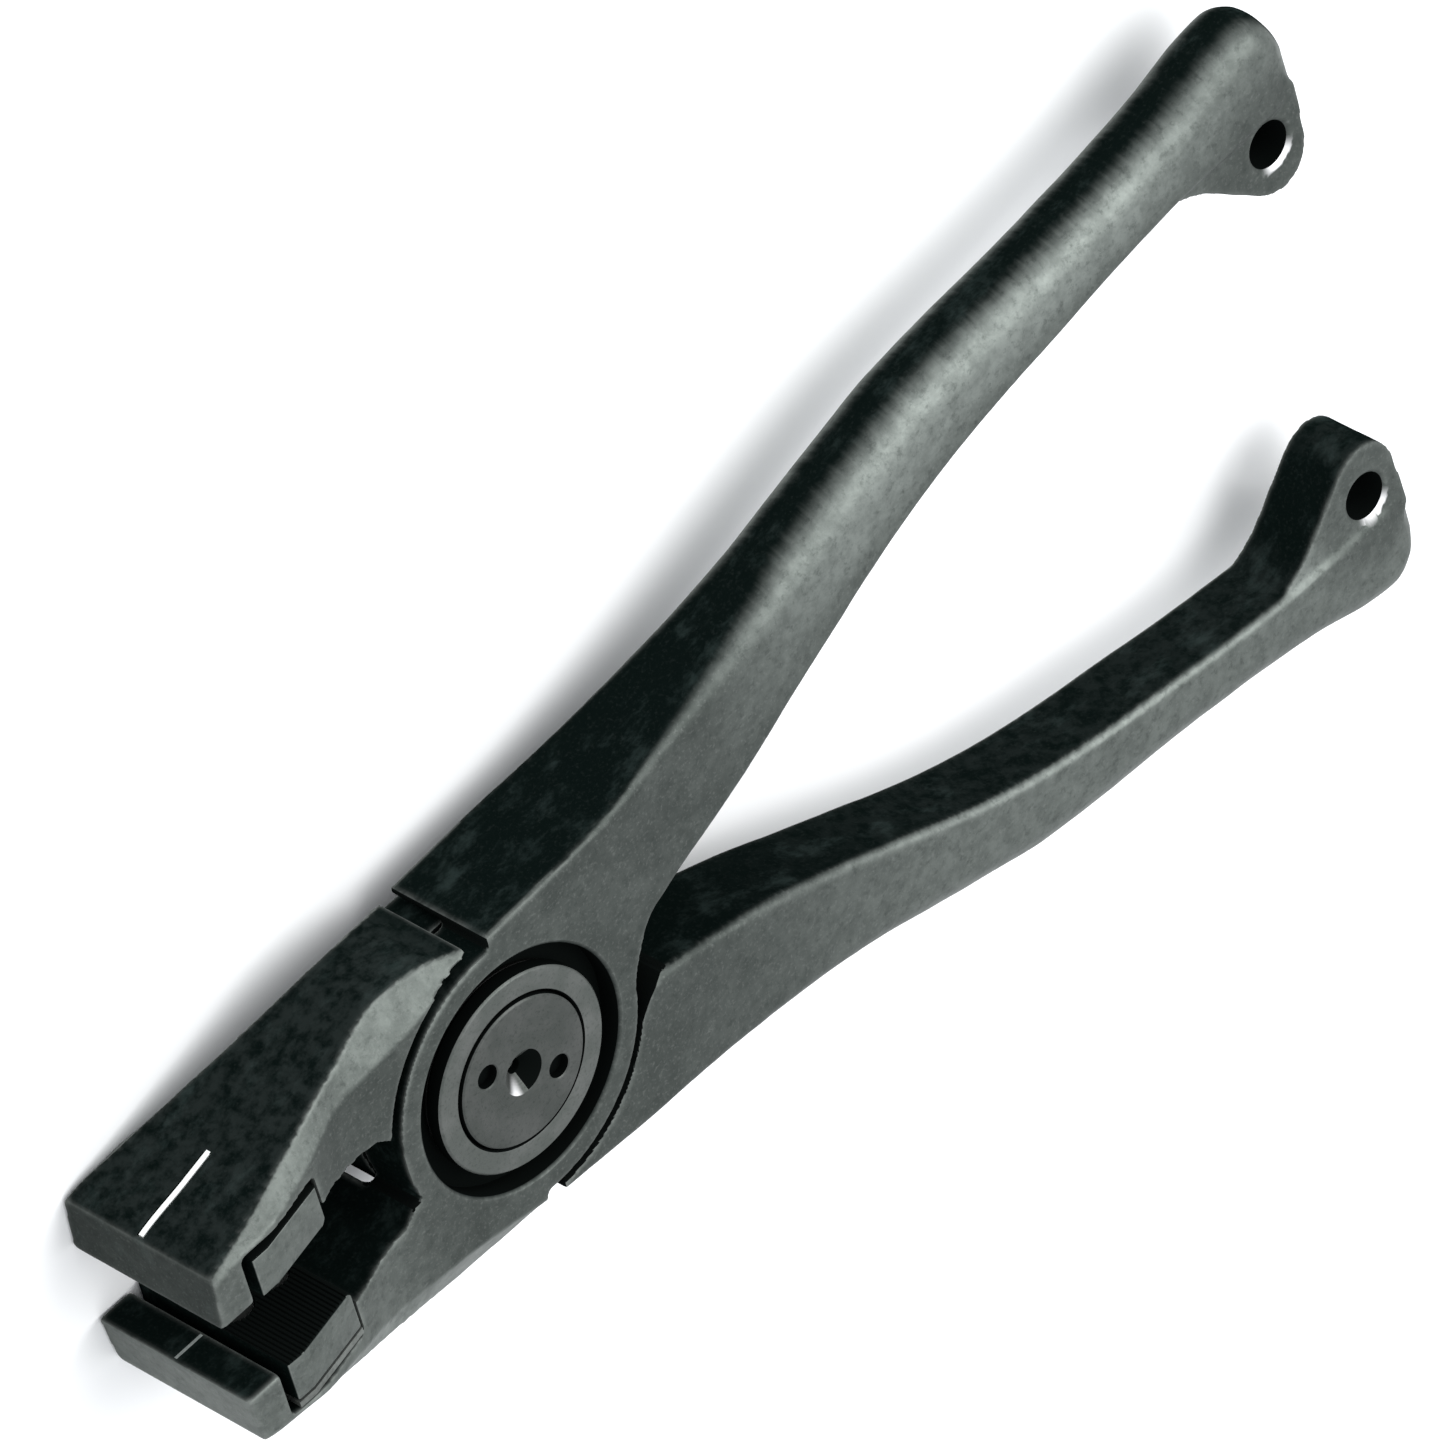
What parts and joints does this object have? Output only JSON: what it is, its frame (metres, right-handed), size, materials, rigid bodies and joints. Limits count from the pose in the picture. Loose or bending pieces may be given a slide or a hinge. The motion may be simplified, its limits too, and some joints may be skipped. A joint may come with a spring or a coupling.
{
  "type": "strapping tensioner pliers",
  "caption": "Heavy forged wide-jaw pliers with a lap-joint pivot, grip inserts in both jaws and an eye at each handle end, for gripping and pulling steel strapping tight",
  "frame": {"origin": "middle of the whole tool's footprint, on the plane that the jaw sides lie on", "axes": "+Z along the pivot axis, up from the side it lies on; +X from the jaws to the handles; +Y towards the upper jaw and the upper handle"},
  "size_m": [0.288, 0.1338, 0.0364],
  "materials": {
    "forged_steel": "black-oxide drop forging, fine scale texture with paler worn edges",
    "hardened_steel": "hardened and oil-blackened, ground side faces",
    "turned_steel": "turned face with fine lathe rings, blackened",
    "screw_steel": "black socket screw",
    "spring_steel": "bright spring steel",
    "bearing_bronze": "oiled bearing bronze",
    "white_enamel": "white enamel rubbed into an engraved line"
  },
  "bodies": {
    "lever_b": {"lever_b_lower_jaw": "forged_steel", "lower_grip_insert": "hardened_steel", "lower_insert_packing": "hardened_steel", "lower_insert_screw_front": "screw_steel", "lower_insert_screw_rear": "screw_steel", "pivot_bolt": "turned_steel", "pivot_nut": "turned_steel", "near_collar": "turned_steel", "far_collar": "turned_steel", "near_spring_washer": "spring_steel", "far_spring_washer": "spring_steel", "near_pivot_bush": "bearing_bronze", "lap_thrust_washer": "bearing_bronze", "bolt_dowel": "spring_steel", "nut_lock_screw": "screw_steel"},
    "lever_a": {"lever_a_upper_jaw": "forged_steel", "index_line_inlay": "white_enamel", "upper_grip_insert": "hardened_steel", "upper_insert_packing": "hardened_steel", "upper_insert_screw_front": "screw_steel", "upper_insert_screw_rear": "screw_steel", "far_pivot_bush": "bearing_bronze"}
  },
  "joints": [
    {"name": "pivot", "type": "hinge", "parent": "lever_b", "child": "lever_a", "pos_m": [-0.0688, 0, 0.0182], "axis": [0, 0, 1], "range_deg": [-4, 12.5]}
  ]
}
